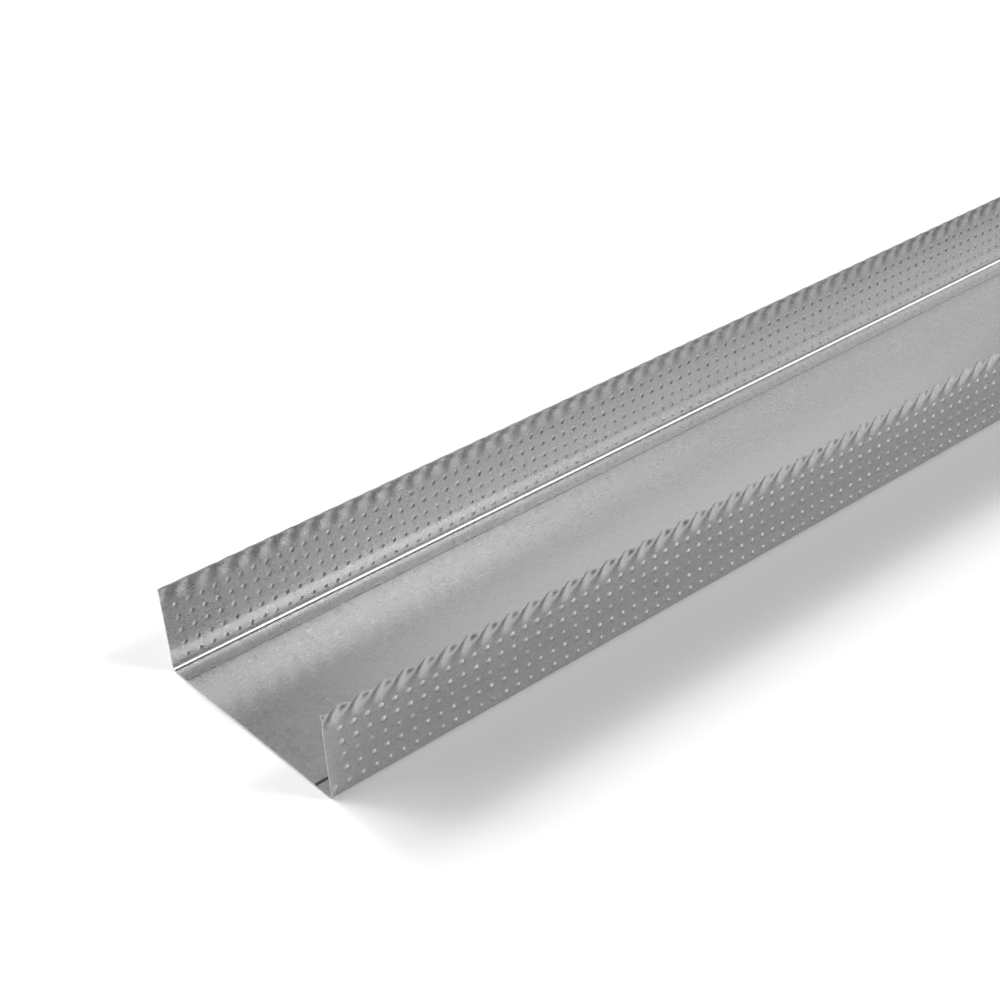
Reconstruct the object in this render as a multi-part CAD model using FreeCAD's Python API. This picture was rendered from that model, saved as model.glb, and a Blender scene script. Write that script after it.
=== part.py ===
import FreeCAD, Part
import math
import os
from FreeCAD import Vector

# A steel floor and ceiling track for drywall partitions: one strip of
# galvanised sheet, roll-formed into a shallow channel that lies on its web
# with both flanges up. X runs along the length, Y across the web, Z up.
# The origin is at the middle of the underside.

# Sizes of the stock and of its section, in millimetres
length = 2438.4
web_width = 92.1
flange_height = 32.5
steel = 0.5
bend_inside_radius = 2.0

# How far each flange leans outward, in degrees
flange_lean = 1.2

# The web's middle is pressed up by a shallow step beside each bend
strip_width = 8.8
step_width = 0.9
step_rise = 0.3
step_inside_radius = 0.6

# The free edge of each flange is crimped into shallow folds, one out and one
# in for each wave. A crest is the flat top of a fold, and the folds fade to
# nothing at their foot.
wave_height = 7.0
wave_pitch = 8.26
wave_depth = 0.85
crest_width = 2.1

lean = math.radians(flange_lean)
half_web = web_width / 2
plain_flange = flange_height - wave_height
up_flange = Vector(0, math.sin(lean), math.cos(lean))
out_of_flange = Vector(0, math.cos(lean), -math.sin(lean))
along = Vector(1, 0, 0)


def parallel_path(corners, distance):
    """A path beside another one, to the left of its direction."""
    normals = []
    for start, end in zip(corners, corners[1:]):
        run = (end - start).normalize()
        normals.append(Vector(0, -run.z, run.y))
    beside = [corners[0] + normals[0] * distance]
    for corner, before, after in zip(corners[1:], normals, normals[1:]):
        both = before + after
        beside.append(corner + both * (2 * distance / both.dot(both)))
    beside.append(corners[-1] + normals[-1] * distance)
    return beside


def rounded_edges(corners, radii):
    """Lines through the corners, with an arc of its own radius at each bend."""
    edges = []
    start = corners[0]
    for before, corner, after, radius in zip(corners, corners[1:], corners[2:], radii):
        back = (before - corner).normalize()
        ahead = (after - corner).normalize()
        inward = (back + ahead).normalize()
        half_turn = math.pi / 2 - back.getAngle(ahead) / 2
        reach = radius * math.tan(half_turn)
        centre = corner + inward * (radius / math.cos(half_turn))
        first = corner + back * reach
        last = corner + ahead * reach
        edges.append(Part.makeLine(start, first))
        edges.append(Part.Arc(first, centre - inward * radius, last).toShape())
        start = last
    edges.append(Part.makeLine(start, corners[-1]))
    return edges


def section_corners():
    """Corners of the section's outer side, from one plain flange to the other."""
    step_foot = half_web - strip_width
    step_head = step_foot - step_width
    right = [
        Vector(0, step_head, step_rise),
        Vector(0, step_foot, 0),
        Vector(0, half_web, 0),
        Vector(0, half_web, 0) + up_flange * plain_flange,
    ]
    left = [Vector(0, -corner.y, corner.z) for corner in reversed(right)]
    return left + right


def plain_channel():
    """The bent strip below the folds, drawn as a section and pulled along X."""
    outer = section_corners()
    inner = parallel_path(outer, steel)
    bend = bend_inside_radius
    step = step_inside_radius
    inner_radii = [bend, step, step + steel, step + steel, step, bend]
    outer_radii = [bend + steel, step + steel, step, step, step + steel, bend + steel]
    edges = rounded_edges(outer, outer_radii)
    edges += rounded_edges(inner, inner_radii)
    edges.append(Part.makeLine(outer[0], inner[0]))
    edges.append(Part.makeLine(outer[-1], inner[-1]))
    section = Part.Face(Part.Wire(Part.__sortEdges__(edges)))
    section.translate(along * (-length / 2))
    return section.extrude(along * length)


def facet(*corners):
    """A flat face with these corners."""
    return Part.Face(Part.makePolygon([*corners, corners[0]]))


def folded_band():
    """The crimped band at the top of the right flange."""
    folds = 2 * max(1, round(length / wave_pitch))
    fold_pitch = length / folds
    margin = (fold_pitch - crest_width) / 2
    foot = Vector(-length / 2, half_web, 0) + up_flange * plain_flange
    head = foot + up_flange * wave_height
    feet = [foot + along * (fold_pitch * count) for count in range(folds + 1)]
    rim = [head]
    for count in range(folds):
        swing = out_of_flange * (wave_depth * (-1) ** count)
        rim.append(head + swing + along * (fold_pitch * count + margin))
        rim.append(head + swing + along * (fold_pitch * (count + 1) - margin))
    rim.append(head + along * length)

    through = out_of_flange * -steel
    outer = [facet(feet[n], feet[n + 1], rim[2 * n + 2], rim[2 * n + 1]) for n in range(folds)]
    outer += [facet(feet[n], rim[2 * n], rim[2 * n + 1]) for n in range(folds + 1)]
    inner = [side.translated(through) for side in outer]
    rims = [facet(*row, *[corner + through for corner in reversed(row)]) for row in (feet, rim)]
    ends = [facet(feet[n], rim[n], rim[n] + through, feet[n] + through) for n in (0, -1)]
    shell = Part.makeShell(outer + inner + rims + ends)
    shell.sewShape()
    return Part.makeSolid(shell)


def track():
    right_band = folded_band()
    left_band = right_band.mirror(Vector(0, 0, 0), Vector(0, 1, 0))
    return plain_channel().fuse([right_band, left_band]).Solids[0]


os.makedirs("parts", exist_ok=True)
track().exportStep("parts/stud_track.step")
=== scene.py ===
import bpy
import math
import numpy as np
from mathutils import Matrix, Vector


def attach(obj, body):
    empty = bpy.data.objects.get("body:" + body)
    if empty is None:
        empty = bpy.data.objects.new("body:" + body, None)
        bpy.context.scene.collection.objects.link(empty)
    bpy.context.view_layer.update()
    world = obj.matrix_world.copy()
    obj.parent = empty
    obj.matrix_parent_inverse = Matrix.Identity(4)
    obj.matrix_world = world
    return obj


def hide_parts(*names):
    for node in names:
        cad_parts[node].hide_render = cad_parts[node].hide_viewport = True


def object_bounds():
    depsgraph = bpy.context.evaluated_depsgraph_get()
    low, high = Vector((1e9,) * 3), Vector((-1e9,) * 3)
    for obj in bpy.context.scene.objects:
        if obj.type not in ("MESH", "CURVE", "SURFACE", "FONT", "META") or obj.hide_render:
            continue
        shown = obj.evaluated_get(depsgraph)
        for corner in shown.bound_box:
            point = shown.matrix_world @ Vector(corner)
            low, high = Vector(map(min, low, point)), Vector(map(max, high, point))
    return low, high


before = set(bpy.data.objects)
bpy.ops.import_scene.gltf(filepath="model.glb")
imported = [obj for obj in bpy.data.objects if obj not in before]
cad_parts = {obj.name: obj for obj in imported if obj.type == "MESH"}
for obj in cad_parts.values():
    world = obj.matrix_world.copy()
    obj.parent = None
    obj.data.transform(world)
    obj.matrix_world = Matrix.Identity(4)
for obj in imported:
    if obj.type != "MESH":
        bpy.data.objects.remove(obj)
cad_low, cad_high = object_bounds()

MM = 0.001
NEAR = -1
FAR = 1

# Section of the track, as in the solid
half_web = 46.05 * MM
flange_height = 32.5 * MM
steel = 0.5 * MM
bend_inside_radius = 2.0 * MM
flange_lean = math.radians(1.2)
strip_width = 8.8 * MM
step_width = 0.9 * MM
step_rise = 0.3 * MM
step_inside_radius = 0.6 * MM

# Each flange curves slightly inward just above its bend
bow_depth = 0.42 * MM
bow_top = 11.0 * MM

# Waves of the free edges. The start is where the first outward crest meets the
# edge. The lean is how far the crest's line runs back toward the start below the
# edge, and a negative one runs on. The rim share says how much of the wave is
# left at the very edge.
wave_height = 7.0 * MM
wave_pitch = 8.26 * MM
wave_depth = {NEAR: 0.82 * MM, FAR: 0.2 * MM}
wave_start = {NEAR: 2.5 * MM, FAR: 2.5 * MM}
wave_rim_share = {NEAR: 1.0, FAR: 0.5}
wave_rim_height = 2.2 * MM
wave_sharpness = 1.3
wave_lean = {NEAR: 2.6 * MM, FAR: -0.6 * MM}
wave_lean_height = 5.0 * MM
wave_spread = 0.1

# Dimples of the flanges: the rows are counted down from the free edge
dimple_rows = 5
dimple_first_row = 8.19 * MM
dimple_row_pitch = 5.08 * MM
dimple_pitch = 5.132 * MM
dimple_start = {NEAR: 1.24 * MM, FAR: 0.40 * MM}
dimple_skew = 0.21 * MM
dimple_radius = {NEAR: 1.6 * MM, FAR: 1.25 * MM}
dimple_depth = {NEAR: 0.5 * MM, FAR: 0.22 * MM}
dimple_row_strength = (1.0, 1.0, 0.7, 1.0, 0.9)
dimple_spread = 0.15
dimple_stray = 0.08 * MM
dimple_ring_shares = (0.3, 0.62, 1.0)
dimple_ring_points = 8

# How finely the sheet is divided
columns_per_half_dimple = 3
wave_bands = 7
bend_segments = 8
step_segments = 3
flange_sections = 4
end_margin = 0.3 * MM

# Zinc finish: the sizes of its textures, its worn bands at the cut ends, the painted highlight along
# the free edges and its range of grey
spangle_size = 1.5 * MM
spangle_stray_size = 1.1 * MM
spangle_stray = 0.6 * MM
grain_size = 0.45 * MM
cloud_size = 18 * MM
blotch_size = 5 * MM
streak_size = 0.7 * MM
streak_stretch = (0.03, 1.0, 1.0)
scratch_size = 0.35 * MM
scratch_stretch = (0.05, 1.0, 1.0)
scratch_turn = math.radians(-38)
scratch_patch_size = 9 * MM
speck_pitch = 5 * MM
cut_wear_reach = 3 * MM
rim_highlight_reach = 1.2 * MM
dark_zinc = (0.36, 0.36, 0.36, 1)
light_zinc = (0.44, 0.44, 0.44, 1)
zinc_roughness = 0.28
relief_height = 0.01 * MM
relief_strength = 0.4

track_start = cad_low.x
track_length = cad_high.x - cad_low.x
bend_outside_radius = bend_inside_radius + steel
bend_reach = bend_outside_radius * math.tan(math.pi / 4 - flange_lean / 2)


class Sheet:
    """Vertices, their normals and the faces of one piece of the sheet."""

    def __init__(self):
        self.points = []
        self.normals = []
        self.faces = []
        self.count = 0

    def add(self, points, normals):
        """Adds an array of points and returns their numbers in the same layout."""
        shape = points.shape[:-1]
        total = int(np.prod(shape))
        self.points.append(points.reshape(total, 3))
        self.normals.append(normals.reshape(total, 3))
        numbers = np.arange(self.count, self.count + total).reshape(shape)
        self.count += total
        return numbers

    def face(self, *corners, flip=False):
        """Adds one face for each entry of the corner arrays."""
        ring = np.stack([np.asarray(corner).ravel() for corner in corners], axis=1)
        if flip:
            ring = ring[:, ::-1]
        self.faces += ring.tolist()

    def quads(self, numbers, flip=False):
        """Joins a grid of vertex numbers with four-sided faces."""
        self.face(numbers[:-1, :-1], numbers[:-1, 1:], numbers[1:, 1:], numbers[1:, :-1], flip=flip)

    def build(self, name):
        mesh = bpy.data.meshes.new(name)
        mesh.from_pydata(np.concatenate(self.points).tolist(), [], self.faces)
        mesh.polygons.foreach_set("use_smooth", np.ones(len(mesh.polygons), dtype=bool))
        normals = np.concatenate(self.normals)
        normals /= np.linalg.norm(normals, axis=1, keepdims=True)
        mesh.normals_split_custom_set_from_vertices(normals.tolist())
        mesh.update()
        piece = bpy.data.objects.new(name, mesh)
        bpy.context.collection.objects.link(piece)
        return piece


def flange_axes(side):
    """Directions down the flange and out of it."""
    down = np.array([0.0, -side * math.sin(flange_lean), -math.cos(flange_lean)])
    out = np.array([0.0, side * math.cos(flange_lean), -math.sin(flange_lean)])
    return down, out


wave_count = int(track_length / wave_pitch) + 3
random = np.random.default_rng(7)
wave_strength = {side: 1 + wave_spread * random.uniform(-1, 1, wave_count) for side in (NEAR, FAR)}


def wave_push(side, x, drop):
    """How far the edge's waves push the sheet out."""
    lean = wave_lean[side] * np.sin(math.pi / 2 * np.clip(drop / wave_lean_height, 0, 1))
    turns = (x + lean - track_start - wave_start[side]) / wave_pitch
    strength = np.interp(turns + 1, np.arange(wave_count), wave_strength[side])
    crest = 2 * (0.5 + 0.5 * np.cos(2 * math.pi * turns)) ** wave_sharpness - 1
    fade = 0.5 + 0.5 * np.cos(math.pi * np.clip(drop / wave_height, 0, 1))
    rim = 0.5 + 0.5 * np.cos(math.pi * np.clip(drop / wave_rim_height, 0, 1))
    return wave_depth[side] * strength * crest * fade * (1 - (1 - wave_rim_share[side]) * rim)


def wave_relief(side, x, drop):
    """How far the edge's waves push the sheet out, and the slopes of that."""
    step = 0.02 * MM
    slope_x = (wave_push(side, x + step, drop) - wave_push(side, x - step, drop)) / (2 * step)
    slope_drop = (wave_push(side, x, drop + step) - wave_push(side, x, drop - step)) / (2 * step)
    return wave_push(side, x, drop), slope_x, slope_drop


def flange_bow(drop):
    """How far the flange's foot curves it inward, as a push out, and the slope of that."""
    share = np.clip((flange_height - drop - bend_reach) / (bow_top - bend_reach), 0, 1)
    push = -bow_depth * (0.5 - 0.5 * np.cos(math.pi * share))
    slope = bow_depth * 0.5 * math.pi * np.sin(math.pi * share) / (bow_top - bend_reach)
    return push, slope


def flange_surface(side, x, drop, push, slope_x, slope_drop, inner):
    """Points and normals of one face of a flange, at distances from its free edge."""
    down, out = flange_axes(side)
    bow, bow_slope = flange_bow(drop)
    push = push + bow
    slope_drop = slope_drop + bow_slope
    x, drop, push = (value[..., None] for value in (x, drop, push))
    slope_x, slope_drop = (value[..., None] for value in (slope_x, slope_drop))
    foot = np.array([0.0, side * half_web, 0.0])
    along = np.array([1.0, 0.0, 0.0])
    across = np.array([0.0, side, 0.0])
    points = foot + along * x - down * (flange_height - drop) + across * push
    if inner:
        points = points - out * steel
    normals = out - along * slope_x - down * slope_drop
    return points, -normals if inner else normals


def column_places(side):
    """X of the lines that divide the sheet: the cut ends, the dimples and the lines between them."""
    start = track_start + dimple_start[side]
    count = int((track_length - dimple_start[NEAR]) / dimple_pitch) + 1
    centres = start + dimple_pitch * np.arange(count)
    places = np.empty(2 * count + 1)
    places[1::2] = centres
    places[2:-1:2] = centres[:-1] + dimple_pitch / 2
    places[0] = track_start
    places[-1] = track_start + track_length
    return places


columns = {side: column_places(side) for side in (NEAR, FAR)}
dimple_count = (len(columns[NEAR]) - 1) // 2
row_strength = np.array(dimple_row_strength)[:, None]
dimple_strength = {
    side: row_strength * (1 + dimple_spread * random.uniform(-1, 1, (dimple_rows, dimple_count)))
    for side in (NEAR, FAR)
}
dimple_scatter = {
    side: dimple_stray * random.uniform(-1, 1, (2, dimple_rows, dimple_count))
    for side in (NEAR, FAR)
}


def dimple_drops():
    """Distances from the free edge of the lines that divide the dimples' rows."""
    centres = dimple_first_row + dimple_row_pitch * np.arange(dimple_rows)
    drops = np.empty(2 * dimple_rows + 1)
    drops[1::2] = centres
    drops[2:-1:2] = centres[:-1] + dimple_row_pitch / 2
    drops[0] = wave_height
    drops[-1] = flange_height - bend_reach
    return drops


def waved_part(sheet, side, places, inner, flip):
    """The band of waves, from the free edge down. Returns its lowest line."""
    parts = columns_per_half_dimple
    steps = np.arange(len(places[:-1]) * parts + 1) / parts
    fine = np.interp(steps, np.arange(len(places)), places)
    drops = np.linspace(0, wave_height, wave_bands + 1)
    x, drop = np.meshgrid(fine, drops)
    numbers = sheet.add(*flange_surface(side, x, drop, *wave_relief(side, x, drop), inner))
    sheet.quads(numbers, flip=flip)
    return numbers[-1]


def dimpled_part(sheet, side, places, first_cell, top_line, inner, flip):
    """The rows of dimples, each a ringed mound on a square of flat sheet."""
    parts = columns_per_half_dimple
    drops = dimple_drops()
    x, drop = np.meshgrid(places, drops)
    flat = np.zeros_like(x)
    grid = sheet.add(*flange_surface(side, x, drop, flat, flat, flat, inner))
    grid[0] = top_line[::parts]

    row_number = np.arange(dimple_rows)[:, None]
    centre_x = x[1::2, 1::2] + dimple_skew * (row_number - dimple_rows // 2)
    cells = slice(first_cell, first_cell + centre_x.shape[1])
    centre_x = centre_x + dimple_scatter[side][0, :, cells]
    centre_x = centre_x.clip(track_start + end_margin, track_start + track_length - end_margin)
    centre_drop = drop[1::2, 1::2] + dimple_scatter[side][1, :, cells]
    room = np.minimum(centre_x - track_start, track_start + track_length - centre_x)
    whole = room > dimple_radius[side]
    strength = dimple_strength[side][:, cells]
    height = np.where(whole, dimple_depth[side] * strength, 0.0)
    width = np.where(whole, dimple_radius[side], room / 2)
    angles = math.radians(-135) + np.arange(dimple_ring_points) * 2 * math.pi / dimple_ring_points
    rings = []
    for share in dimple_ring_shares:
        radius = share * width[..., None]
        ring_x = centre_x[..., None] + radius * np.cos(angles)
        ring_drop = centre_drop[..., None] + radius * np.sin(angles)
        push = height[..., None] * (0.5 + 0.5 * math.cos(math.pi * share)) * np.ones(dimple_ring_points)
        pull = -height[..., None] * 0.5 * math.pi / dimple_radius[side] * math.sin(math.pi * share)
        slopes = pull * np.cos(angles), pull * np.sin(angles)
        rings.append(sheet.add(*flange_surface(side, ring_x, ring_drop, push, *slopes, inner)))
    none = np.zeros_like(centre_x)
    tips = sheet.add(*flange_surface(side, centre_x, centre_drop, height, none, none, inner))

    border = [grid[0:-1:2, 0:-1:2], grid[0:-1:2, 1::2], grid[0:-1:2, 2::2], grid[1::2, 2::2],
              grid[2::2, 2::2], grid[2::2, 1::2], grid[2::2, 0:-1:2], grid[1::2, 0:-1:2]]
    for turn in range(dimple_ring_points):
        after = (turn + 1) % dimple_ring_points
        first, second, third = (ring[..., turn] for ring in rings)
        first_next, second_next, third_next = (ring[..., after] for ring in rings)
        sheet.face(tips, first, first_next, flip=flip)
        sheet.face(first, second, second_next, first_next, flip=flip)
        sheet.face(second, third, third_next, second_next, flip=flip)
        rows = slice(1, None) if turn < 2 else slice(None)
        sheet.face(third[rows], border[turn][rows], border[after][rows], third_next[rows], flip=flip)
    for turn, start in ((0, 0), (1, parts)):
        edge = [top_line[start + step::2 * parts][:len(tips[0])] for step in range(parts + 1)]
        sheet.face(rings[2][0, :, turn], *edge, rings[2][0, :, turn + 1], flip=flip)
    return grid[-1]


def cut_edge(sheet, outer, inner, normal, flip):
    """The bare edge of the sheet between two lines of points that face each other."""
    ribbon = np.stack([outer, inner])
    numbers = sheet.add(ribbon, np.broadcast_to(np.array(normal, float), ribbon.shape).copy())
    sheet.quads(numbers, flip=flip)


def flange_piece(side, section):
    """One length of a flange, with both faces, its free edge and, at an end, its cut."""
    sheet = Sheet()
    places = columns[side]
    cells = (len(places) - 1) // 2
    first = cells * section // flange_sections
    last = cells * (section + 1) // flange_sections
    places = places[2 * first:2 * last + 1]
    rims = []
    ends = []
    for inner in (False, True):
        flip = (side == NEAR) != inner
        start = sheet.count
        line = waved_part(sheet, side, places, inner, flip)
        dimpled_part(sheet, side, places, first, line, inner, flip)
        points = np.concatenate(sheet.points)
        fine = len(line)
        rims.append(points[start:start + fine])
        band = points[start:start + fine * (wave_bands + 1)].reshape(wave_bands + 1, fine, 3)
        grid_start = start + band.shape[0] * fine
        grid = points[grid_start:grid_start + (2 * dimple_rows + 1) * len(places)]
        grid = grid.reshape(2 * dimple_rows + 1, len(places), 3)
        ends.append([np.concatenate([band[:, column], grid[1:, column]]) for column in (0, -1)])
    down, _ = flange_axes(side)
    cut_edge(sheet, rims[0], rims[1], -down, flip=side == FAR)
    if section == 0:
        cut_edge(sheet, ends[0][0], ends[1][0], (-1, 0, 0), flip=side == NEAR)
    if section == flange_sections - 1:
        cut_edge(sheet, ends[0][1], ends[1][1], (1, 0, 0), flip=side == FAR)
    word = "near" if side == NEAR else "far"
    return sheet.build(f"{word}_flange_{section + 1}")


def section_rows():
    """Places and outward normals along the underside, from one bend to the other."""
    step_foot = half_web - strip_width
    step_head = step_foot - step_width
    down, _ = flange_axes(FAR)
    half = [(step_head, step_rise), (step_foot, 0.0), (half_web, 0.0),
            (half_web - down[1] * flange_height, -down[2] * flange_height)]
    corners = [np.array([-y, z]) for y, z in reversed(half)] + [np.array(corner) for corner in half]
    bend, step = bend_inside_radius, step_inside_radius
    radii = [bend + steel, step + steel, step, step, step + steel, bend + steel]
    segments = [bend_segments] + [step_segments] * 4 + [bend_segments]
    rows = []
    for number, radius in enumerate(radii):
        before, corner, after = corners[number:number + 3]
        ahead = (corner - before) / np.linalg.norm(corner - before)
        beyond = (after - corner) / np.linalg.norm(after - corner)
        turn = math.atan2(ahead[0] * beyond[1] - ahead[1] * beyond[0], ahead @ beyond)
        left = 1 if turn > 0 else -1
        reach = radius * math.tan(abs(turn) / 2)
        start = corner - ahead * reach
        centre = start + left * radius * np.array([-ahead[1], ahead[0]])
        for share in np.linspace(0, 1, segments[number] + 1):
            angle = turn * share
            spoke = np.array([math.cos(angle) * ahead[1] + math.sin(angle) * ahead[0],
                              -math.cos(angle) * ahead[0] + math.sin(angle) * ahead[1]])
            rows.append((centre + left * radius * spoke, spoke))
    return rows


def web_piece():
    """The web with its strips, steps and bends, swept along the track."""
    sheet = Sheet()
    rows = section_rows()
    blend = np.array([(place[0] + half_web) / (2 * half_web) for place, _ in rows]).clip(0, 1)[:, None]
    x = columns[NEAR] * (1 - blend) + columns[FAR] * blend
    place = np.array([np.insert(place, 0, 0.0) for place, _ in rows])[:, None, :]
    normal = np.array([np.insert(normal, 0, 0.0) for _, normal in rows])[:, None, :]
    outer = place + x[..., None] * np.array([1.0, 0.0, 0.0])
    inner = outer - normal * steel
    normals = np.broadcast_to(normal, outer.shape).copy()
    sheet.quads(sheet.add(outer, normals), flip=True)
    sheet.quads(sheet.add(inner, -normals), flip=False)
    cut_edge(sheet, outer[:, 0], inner[:, 0], (-1, 0, 0), flip=True)
    cut_edge(sheet, outer[:, -1], inner[:, -1], (1, 0, 0), flip=False)
    return sheet.build("web")


class Nodes:
    """A short way to add linked nodes to a material or the world."""

    def __init__(self, owner):
        self.tree = owner.node_tree

    def add(self, kind, inputs=None, **settings):
        """Adds a node, with a value or another node's output for each input."""
        node = self.tree.nodes.new(kind)
        for name, value in settings.items():
            setattr(node, name, value)
        for name, value in (inputs or {}).items():
            if isinstance(value, bpy.types.NodeSocket):
                self.tree.links.new(value, node.inputs[name])
            else:
                node.inputs[name].default_value = value
        return node

    def combine(self, first, second, operation="ADD"):
        """Two values joined by an operation, which is a sum unless it is named."""
        return self.add("ShaderNodeMath", {0: first, 1: second}, operation=operation).outputs[0]

    def combine_vectors(self, first, second, operation):
        """The same for two vectors."""
        return self.add("ShaderNodeVectorMath", {0: first, 1: second}, operation=operation).outputs[0]

    def ramp(self, value, low, high, start=0.0, end=1.0):
        """A smooth step from one value to another, for the range low to high."""
        inputs = {"Value": value, "From Min": low, "From Max": high, "To Min": start, "To Max": end}
        return self.add("ShaderNodeMapRange", inputs, interpolation_type="SMOOTHSTEP").outputs[0]

    def scaled(self, place, scale, turn=0.0):
        """A place turned about Z, then stretched."""
        inputs = {"Vector": place, "Angle": turn}
        turned = self.add("ShaderNodeVectorRotate", inputs, rotation_type="Z_AXIS").outputs[0]
        return self.combine_vectors(turned, scale, "MULTIPLY")

    def noise(self, place, size, detail=2.0):
        """Cloudy noise whose forms have a given size."""
        inputs = {"Vector": place, "Scale": 1 / size, "Detail": detail, "Roughness": 0.55}
        return self.add("ShaderNodeTexNoise", inputs).outputs["Fac"]

    def blend(self, start, parts):
        """A start value, with shares of textures added whose middle is one half."""
        total = start
        for texture, share in parts:
            inputs = {0: texture, 1: share, 2: -share / 2}
            swing = self.add("ShaderNodeMath", inputs, operation="MULTIPLY_ADD").outputs[0]
            total = self.combine(swing, total)
        return total


def galvanised_steel():
    """Zinc on steel: fine spangle, grain, rolling streaks, scuffs, scratches, worn cut ends and a
    painted highlight along the flanges' free edges.
    """
    material = bpy.data.materials.new("galvanised_steel")
    material.use_nodes = True
    nodes = Nodes(material)
    shader = material.node_tree.nodes["Principled BSDF"]
    place = nodes.add("ShaderNodeTexCoord").outputs["Object"]

    inputs = {"Vector": place, "Scale": 1 / spangle_stray_size, "Detail": 1.0}
    stray = nodes.add("ShaderNodeTexNoise", inputs).outputs["Color"]
    shift = nodes.combine_vectors(stray, (spangle_stray,) * 3, "MULTIPLY")
    bent = nodes.combine_vectors(place, shift, "ADD")
    crystals = nodes.add("ShaderNodeTexVoronoi", {"Vector": bent, "Scale": 1 / spangle_size})
    spangle = crystals.outputs["Color"]
    grain = nodes.noise(place, grain_size, 2.0)
    clouds = nodes.noise(place, cloud_size, 3.0)
    blotches = nodes.noise(place, blotch_size, 2.0)
    streaks = nodes.noise(nodes.scaled(place, streak_stretch), streak_size, 2.0)
    cross = nodes.noise(nodes.scaled(place, scratch_stretch, scratch_turn), scratch_size, 1.0)
    patch = nodes.noise(place, scratch_patch_size, 1.0)
    scratches = nodes.combine(nodes.ramp(cross, 0.68, 0.74), nodes.ramp(patch, 0.5, 0.62), "MULTIPLY")
    dots = nodes.add("ShaderNodeTexVoronoi", {"Vector": place, "Scale": 1 / speck_pitch})
    specks = nodes.ramp(dots.outputs["Distance"], 0.09, 0.05)

    parts = nodes.add("ShaderNodeSeparateXYZ", {"Vector": place}).outputs
    from_start = nodes.combine(parts["X"], track_start, "SUBTRACT")
    to_end = nodes.combine(track_start + track_length, parts["X"], "SUBTRACT")
    from_cut = nodes.combine(from_start, to_end, "MINIMUM")
    near_cut = nodes.ramp(from_cut, cut_wear_reach, 0.0)
    # Painted highlight: the base colour is made lighter along the flanges' free edges, standing in for
    # light caught by the rim
    painted_rim_highlight = nodes.ramp(parts["Z"], flange_height - rim_highlight_reach, flange_height)
    cut_wear_and_rim_highlight = nodes.combine(near_cut, painted_rim_highlight, "MAXIMUM")
    patchy_wear_and_rim_highlight = nodes.combine(cut_wear_and_rim_highlight, nodes.ramp(blotches, 0.35, 0.65), "MULTIPLY")

    shares = [(spangle, 0.45), (grain, 0.9), (clouds, 0.5), (blotches, 0.25), (streaks, 0.5)]
    shade = nodes.blend(0.5, shares)
    # This share lightens the worn cut ends and also paints the highlight along the rim
    for mark, share in ((scratches, 0.25), (specks, 0.4), (patchy_wear_and_rim_highlight, 0.3)):
        shade = nodes.combine(shade, nodes.combine(mark, share, "MULTIPLY"))
    inputs = {"Factor": shade, 6: dark_zinc, 7: light_zinc}
    colour = nodes.add("ShaderNodeMix", inputs, data_type="RGBA", clamp_factor=False)
    nodes.tree.links.new(colour.outputs[2], shader.inputs["Base Color"])

    shares = [(spangle, 0.03), (grain, 0.03), (clouds, 0.05), (streaks, 0.03)]
    polish = nodes.blend(zinc_roughness, shares)
    polish = nodes.combine(polish, nodes.combine(scratches, 0.05, "MULTIPLY"))
    nodes.tree.links.new(polish, shader.inputs["Roughness"])
    shader.inputs["Metallic"].default_value = 1.0

    relief = nodes.blend(0.0, [(spangle, 0.2), (grain, 1.0), (streaks, 0.25)])
    relief = nodes.combine(relief, nodes.combine(scratches, -0.4, "MULTIPLY"))
    inputs = {"Height": relief, "Strength": relief_strength, "Distance": relief_height}
    bump = nodes.add("ShaderNodeBump", inputs)
    nodes.tree.links.new(bump.outputs[0], shader.inputs["Normal"])
    return material


def dress(piece, material):
    piece.data.materials.append(material)
    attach(piece, "root")


pieces = [web_piece()]
pieces += [flange_piece(side, section) for side in (NEAR, FAR) for section in range(flange_sections)]
steel_finish = galvanised_steel()
for piece in pieces:
    dress(piece, steel_finish)
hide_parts("stud_track")


# Azimuth, elevation and width of each softbox in degrees, and its strength
lamps = (
    (90, 33, 26, 1.85),
    (120, 33, 26, 1.8),
    (150, 33, 26, 0.7),
    (45, 33, 26, 0.2),
    (317, 33, 26, 0.45),
    (340, 33, 26, 0.35),
    (305, 46, 12, 0.7),
    (210, 12, 26, 0.3),
    (270, 12, 26, 0.25),
    (300, 12, 26, 0.35),
    (330, 12, 26, 0.3),
)

# Brightness of the room high up and at the horizon, and the heights on a ball
# of radius 1 between which one turns into the other
room_high = 0.08
room_low = 0.15
room_low_top = 0.1
room_high_foot = 0.42

# The camera: its focal length in pixels of a square picture, the place where it
# stands, and its directions to the right, down and ahead
focal_pixels = 1846.4
picture_pixels = 1000
sensor_width = 36
camera_place = Vector((-1435.39, -420.65, 360.67)) * MM
camera_right = Vector((0.765786, -0.639640, -0.066483))
camera_down = Vector((-0.376747, -0.362438, -0.852467))
camera_ahead = Vector((0.521184, 0.677855, -0.518536))

floor_reach = 6.0
floor_colour = (0.9, 0.9, 0.9, 1)


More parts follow.
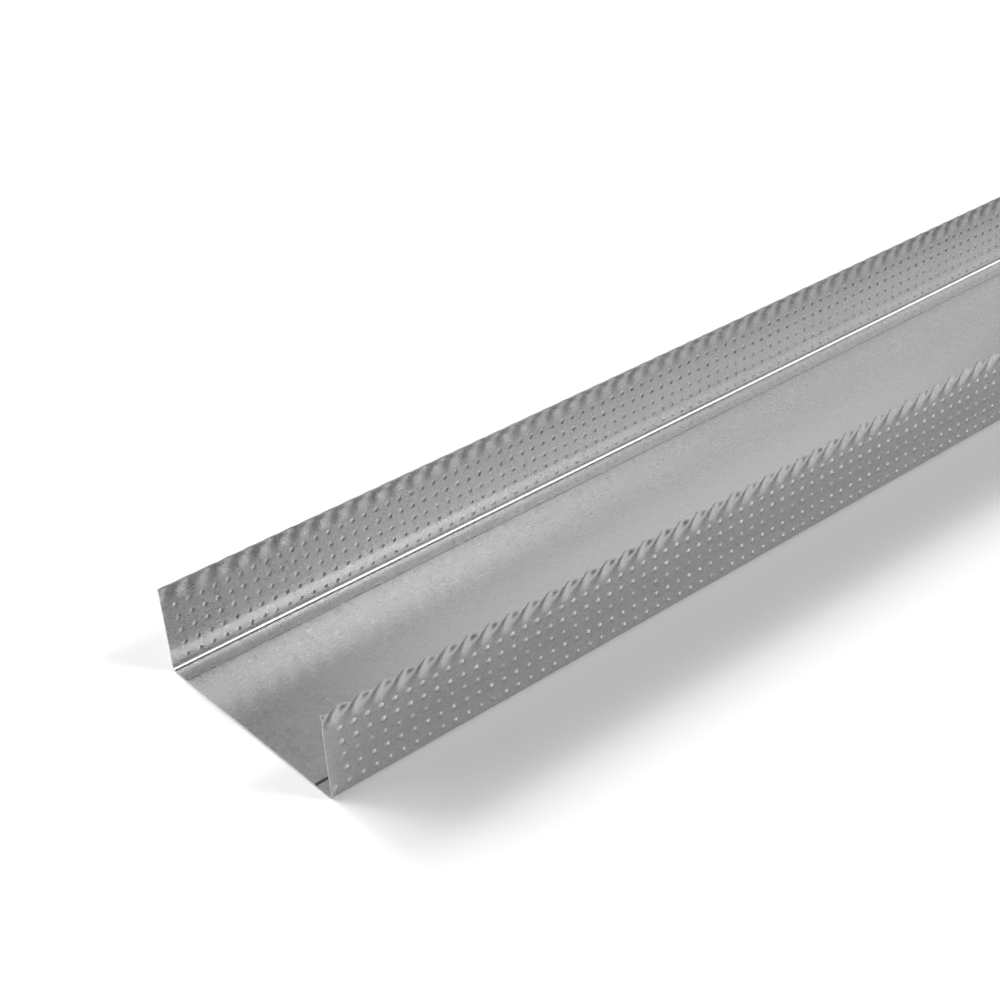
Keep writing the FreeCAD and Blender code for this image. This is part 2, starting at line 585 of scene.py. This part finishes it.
def make_camera():
    """The photograph's view."""
    data = bpy.data.cameras.new("camera")
    data.sensor_width = sensor_width
    data.lens = focal_pixels / picture_pixels * sensor_width
    data.clip_start = 0.01
    data.clip_end = 50
    camera = bpy.data.objects.new("camera", data)
    bpy.context.collection.objects.link(camera)
    turn = Matrix((camera_right, -camera_down, -camera_ahead)).transposed().to_4x4()
    camera.matrix_world = Matrix.Translation(camera_place) @ turn
    bpy.context.scene.camera = camera


def make_floor():
    mesh = bpy.data.meshes.new("floor")
    reach = floor_reach
    corners = [(-reach, -reach, 0), (reach, -reach, 0), (reach, reach, 0), (-reach, reach, 0)]
    mesh.from_pydata(corners, [], [(0, 1, 2, 3)])
    floor = bpy.data.objects.new("floor", mesh)
    bpy.context.collection.objects.link(floor)
    material = bpy.data.materials.new("floor")
    material.use_nodes = True
    material.node_tree.nodes["Principled BSDF"].inputs["Base Color"].default_value = floor_colour
    mesh.materials.append(material)


def make_lamp(azimuth, elevation, width, strength):
    """A far softbox, by its direction and the width that it fills, in degrees."""
    data = bpy.data.lights.new("softbox", "SUN")
    data.angle = math.radians(width)
    data.energy = strength
    lamp = bpy.data.objects.new("softbox", data)
    turn, rise = math.radians(azimuth), math.radians(elevation)
    toward = Vector((math.cos(turn) * math.cos(rise), math.sin(turn) * math.cos(rise), math.sin(rise)))
    lamp.rotation_euler = toward.to_track_quat("Z", "Y").to_euler()
    bpy.context.collection.objects.link(lamp)


def make_light():
    """Softboxes in a dim room, which the camera alone sees as a white background."""
    world = bpy.data.worlds.new("studio")
    world.use_nodes = True
    nodes = Nodes(world)
    background = world.node_tree.nodes["Background"]
    direction = nodes.add("ShaderNodeTexCoord").outputs["Generated"]
    height = nodes.add("ShaderNodeSeparateXYZ", {"Vector": direction}).outputs["Z"]
    room = nodes.ramp(height, room_low_top, room_high_foot, room_low, room_high)
    seen = nodes.add("ShaderNodeLightPath").outputs["Is Camera Ray"]
    strength = nodes.combine(room, seen, "MAXIMUM")
    nodes.tree.links.new(strength, background.inputs["Strength"])
    background.inputs["Color"].default_value = (1, 1, 1, 1)
    bpy.context.scene.world = world
    bpy.context.scene.view_settings.view_transform = "Standard"
    for lamp in lamps:
        make_lamp(*lamp)


make_camera()
make_floor()
make_light()
